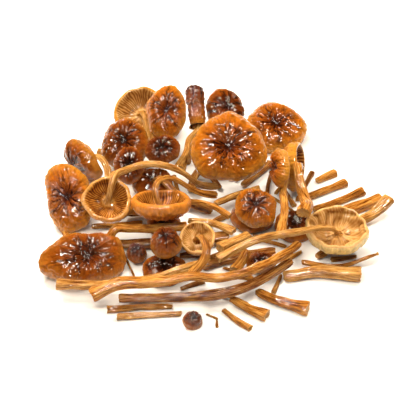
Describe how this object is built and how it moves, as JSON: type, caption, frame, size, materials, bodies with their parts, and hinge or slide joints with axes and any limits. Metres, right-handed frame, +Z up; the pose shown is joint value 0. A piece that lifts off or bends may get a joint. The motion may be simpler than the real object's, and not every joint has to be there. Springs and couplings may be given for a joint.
{
  "type": "bunch of soaked tea tree mushrooms",
  "caption": "Loose heap of soaked tea tree mushrooms: wrinkled brown caps with radial creases and gills, long fluted stems, lying flat.",
  "frame": {"origin": "middle of the box's underside, on the surface that the bunch lies on", "axes": "+X to the right along the longest side, +Y away from the viewer, +Z up"},
  "size_m": [0.1724, 0.168, 0.0369],
  "materials": {
    "cap_skin": "wet, wrinkled, glossy",
    "stem_flesh": "wet, fibrous, satin"
  },
  "bodies": {
    "root": {"mushroom_01": "cap_skin", "mushroom_02": "cap_skin", "mushroom_03": "cap_skin", "mushroom_04": "cap_skin", "mushroom_05": "cap_skin", "mushroom_06": "cap_skin", "mushroom_07": "cap_skin", "mushroom_08": "cap_skin", "mushroom_09": "cap_skin", "mushroom_10": "cap_skin", "mushroom_11": "cap_skin", "mushroom_12": "cap_skin", "mushroom_13": "cap_skin", "mushroom_14": "cap_skin", "mushroom_15": "cap_skin", "mushroom_16": "cap_skin", "mushroom_17": "cap_skin", "mushroom_18": "cap_skin", "mushroom_19": "cap_skin", "mushroom_20": "cap_skin", "mushroom_21": "cap_skin", "mushroom_22": "cap_skin", "mushroom_23": "cap_skin", "mushroom_24": "cap_skin", "mushroom_25": "cap_skin", "mushroom_26": "cap_skin", "mushroom_27": "cap_skin", "mushroom_28": "cap_skin", "mushroom_29": "cap_skin", "mushroom_30": "cap_skin", "stem_01": "stem_flesh", "stem_02": "stem_flesh", "stem_03": "stem_flesh", "stem_04": "stem_flesh", "stem_05": "stem_flesh", "stem_06": "stem_flesh", "stem_07": "stem_flesh", "stem_08": "stem_flesh", "stem_09": "stem_flesh", "stem_10": "stem_flesh", "stem_11": "stem_flesh", "stem_12": "stem_flesh", "stem_13": "stem_flesh", "stem_14": "stem_flesh", "stem_15": "stem_flesh", "stem_16": "stem_flesh", "stem_17": "stem_flesh", "stem_18": "stem_flesh", "stem_19": "stem_flesh", "stem_20": "stem_flesh", "stem_21": "stem_flesh", "stem_22": "stem_flesh", "stem_23": "stem_flesh", "stem_24": "stem_flesh", "stem_25": "stem_flesh", "stem_26": "stem_flesh", "stem_27": "stem_flesh", "stem_28": "stem_flesh", "stem_29": "stem_flesh", "stem_30": "stem_flesh"}
  },
  "joints": []
}
